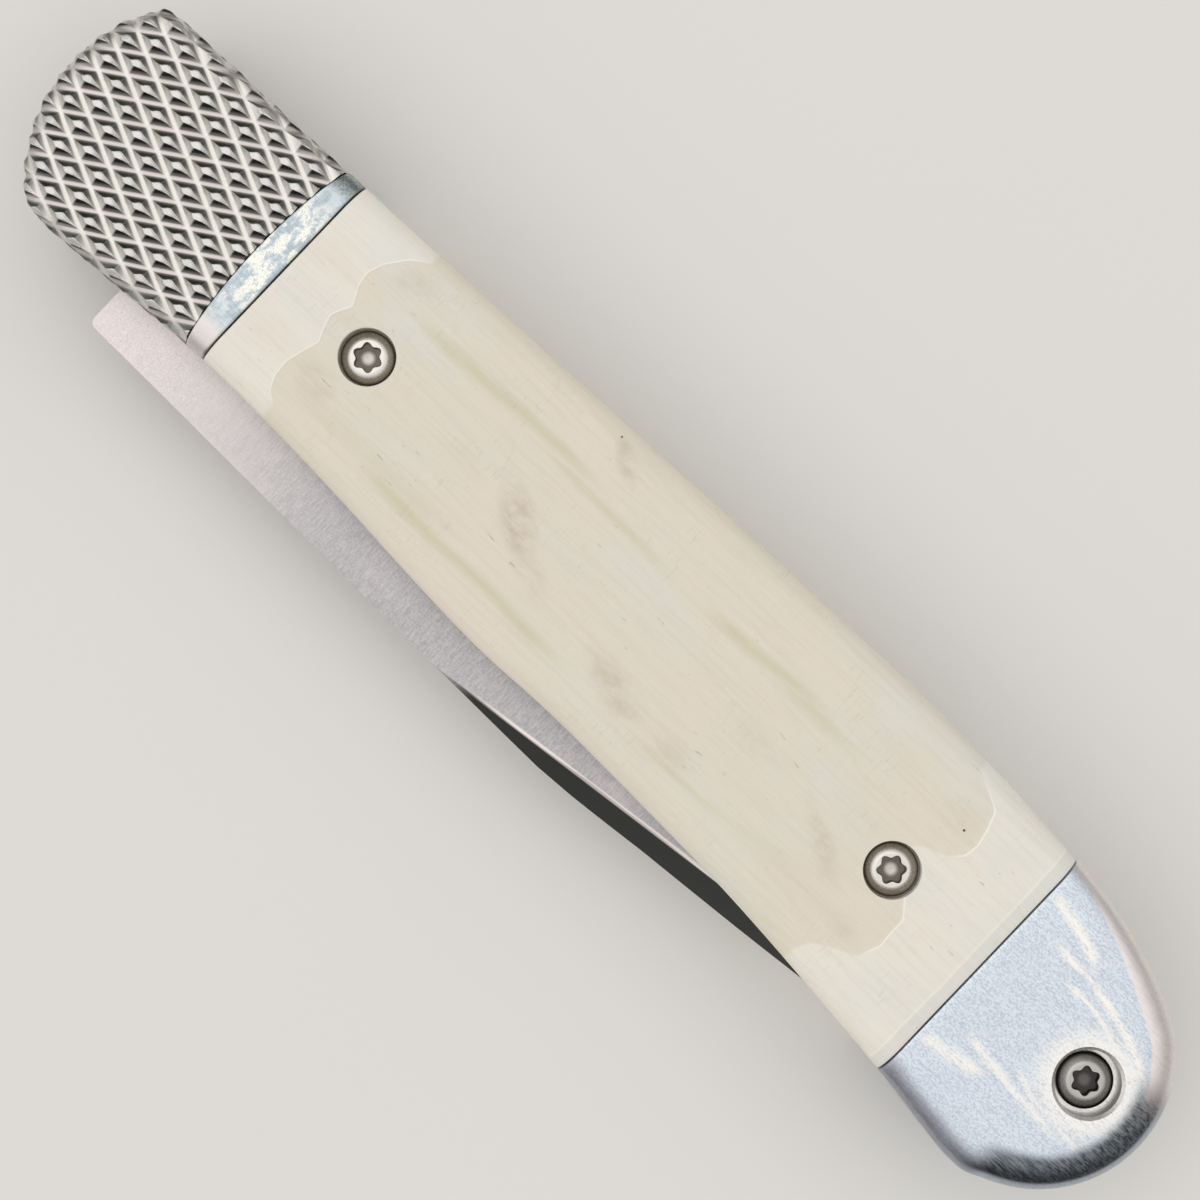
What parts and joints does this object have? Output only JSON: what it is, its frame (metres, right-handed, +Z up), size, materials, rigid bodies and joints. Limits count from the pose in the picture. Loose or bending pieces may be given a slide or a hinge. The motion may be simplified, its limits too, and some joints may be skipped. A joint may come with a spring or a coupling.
{
  "type": "trapper knife",
  "caption": "Slip-joint folding pocket knife, closed, with a clip blade, bone scales, diamond-knurled front bolsters and smooth rear bolsters.",
  "frame": {"origin": "middle of the closed knife's bounding box, on the plane it lies on", "axes": "+X from the knurled pivot end to the butt, +Y towards the back spring, +Z up through the front scale"},
  "size_m": [0.105, 0.0222, 0.0123],
  "materials": {
    "blade_steel": "matte, fine cross grain",
    "spring_steel": "satin",
    "liner_steel": "satin",
    "knurled_steel": "satin, diamond knurled",
    "collar_steel": "hand-polished satin",
    "bone": "smooth natural bone, satin",
    "bolster_steel": "satin",
    "pin_steel": "plain",
    "washer_bronze": "plain",
    "screw_steel": "turned, bright",
    "butt_screw_steel": "turned, darker"
  },
  "bodies": {
    "handle": {"backspring": "spring_steel", "liner_front": "liner_steel", "liner_back": "liner_steel", "knurled_bolster_front": "knurled_steel", "knurled_bolster_back": "knurled_steel", "collar_front": "collar_steel", "collar_back": "collar_steel", "bone_scale_front": "bone", "bone_scale_back": "bone", "rear_bolster_front": "bolster_steel", "rear_bolster_back": "bolster_steel", "pivot_pin": "pin_steel", "pivot_washer_front": "washer_bronze", "pivot_washer_back": "washer_bronze", "spring_pin": "pin_steel", "butt_barrel": "pin_steel", "butt_screw_front": "butt_screw_steel", "butt_screw_back": "butt_screw_steel", "scale_screws_front": "screw_steel", "scale_screws_back": "screw_steel", "bolster_screws_front": "pin_steel", "bolster_screws_back": "pin_steel", "collar_pins_front": "pin_steel", "collar_pins_back": "pin_steel", "rear_bolster_pins_front": "pin_steel", "rear_bolster_pins_back": "pin_steel"},
    "blade": {"blade": "blade_steel"}
  },
  "joints": [
    {"name": "blade_pivot", "type": "hinge", "parent": "handle", "child": "blade", "pos_m": [-0.046, -0.00027, 0.00617], "axis": [0, 0, -1], "range_deg": [0, 180], "deforming": ["backspring"]}
  ]
}
